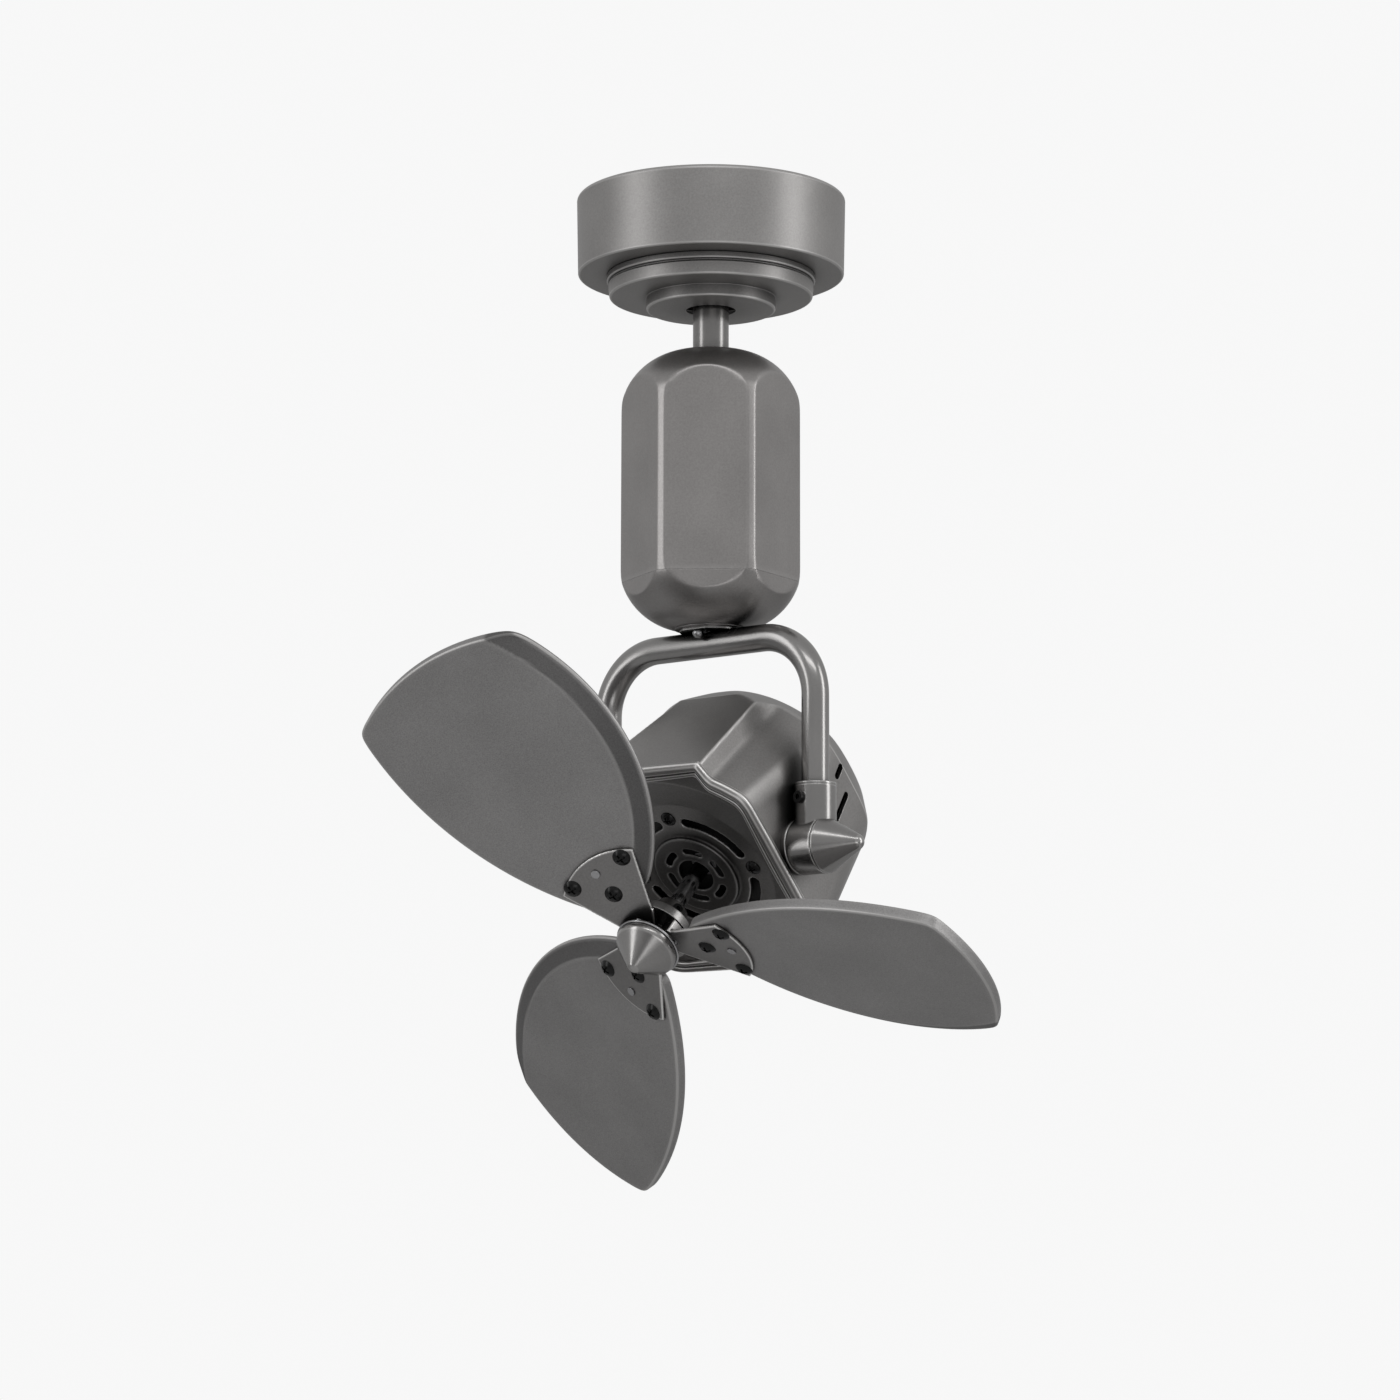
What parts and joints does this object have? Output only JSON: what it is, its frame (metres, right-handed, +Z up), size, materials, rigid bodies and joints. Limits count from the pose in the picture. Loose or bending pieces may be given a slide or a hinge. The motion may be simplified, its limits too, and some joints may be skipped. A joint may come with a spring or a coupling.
{
  "type": "ceiling fan",
  "caption": "Small downrod ceiling fan: canopy, hexagonal geared housing, circling yoke, tilting motor head and wide pitched blades with a cone spinner.",
  "frame": {"origin": "middle of the ceiling face, on the downrod axis", "axes": "+Z up along the downrod, -Y the way the head faces at rest, X along the tilt axis"},
  "size_m": [0.3824, 0.2948, 0.5851],
  "materials": {
    "gunmetal": "satin gunmetal",
    "blade_metal": "fine speckled gunmetal coat",
    "black_steel": "gloss black oxide",
    "zinc_steel": "zinc plated",
    "brass": "machined",
    "copper": "enamelled wire, stands for copper",
    "nylon": "moulded nylon",
    "fibre": "friction fibre"
  },
  "bodies": {
    "ceiling_side": {"ceiling_bracket": "zinc_steel", "canopy": "gunmetal", "canopy_screws": "zinc_steel", "stepped_cover": "gunmetal", "terminal_block": "nylon", "downrod": "gunmetal", "downrod_pin": "zinc_steel", "downrod_nut": "zinc_steel", "gear_housing": "gunmetal", "housing_lid": "gunmetal", "lid_screws": "black_steel", "gear_plate": "zinc_steel", "plate_screws": "zinc_steel", "orbit_motor": "zinc_steel", "motor_screws": "zinc_steel", "orbit_bearing": "zinc_steel", "run_capacitor": "nylon"},
    "orbit_drive": {"orbit_pinion": "brass"},
    "yoke": {"orbit_gear": "nylon", "orbit_shaft": "zinc_steel", "shaft_clip": "black_steel", "yoke_tube": "gunmetal", "yoke_saddle": "gunmetal", "saddle_screws": "zinc_steel", "left_pivot_hub": "gunmetal", "right_pivot_hub": "gunmetal", "hub_set_screws": "black_steel", "pivot_bolts": "zinc_steel", "pivot_nuts": "zinc_steel", "friction_washers": "fibre", "left_cone_cap": "gunmetal", "right_cone_cap": "gunmetal"},
    "head": {"motor_casing": "gunmetal", "rear_cover": "gunmetal", "rear_cover_screws": "black_steel", "front_plate": "gunmetal", "front_plate_screws": "black_steel", "motor_pod": "zinc_steel", "stator_core": "zinc_steel", "windings": "copper", "front_bearing": "zinc_steel", "rear_bearing": "zinc_steel"},
    "rotor": {"rotor_core": "zinc_steel", "motor_shaft": "zinc_steel", "blade_hub": "gunmetal", "hub_lock_screw": "black_steel", "blade_iron_1": "gunmetal", "blade_iron_2": "gunmetal", "blade_iron_3": "gunmetal", "iron_screws": "zinc_steel", "blade_1": "blade_metal", "blade_2": "blade_metal", "blade_3": "blade_metal", "blade_screws": "black_steel", "blade_rivets": "zinc_steel", "spinner_washer": "zinc_steel", "spinner": "gunmetal"}
  },
  "joints": [
    {"name": "orbit", "type": "hinge", "parent": "ceiling_side", "child": "yoke", "pos_m": [0, 0, -0.2], "axis": [0, 0, 1], "continuous": true},
    {"name": "drive", "type": "hinge", "parent": "ceiling_side", "child": "orbit_drive", "pos_m": [-0.032, 0, -0.22], "axis": [0, 0, 1], "continuous": true},
    {"name": "tilt", "type": "hinge", "parent": "yoke", "child": "head", "pos_m": [0, 0, -0.39403], "axis": [1, 0, 0], "range_deg": [-35, 45]},
    {"name": "spin", "type": "hinge", "parent": "head", "child": "rotor", "pos_m": [0, 0, -0.39403], "axis": [0, -0.7071, -0.7071], "continuous": true}
  ],
  "couplings": [
    {"joint": "drive", "follows": "orbit", "ratio": -3}
  ]
}
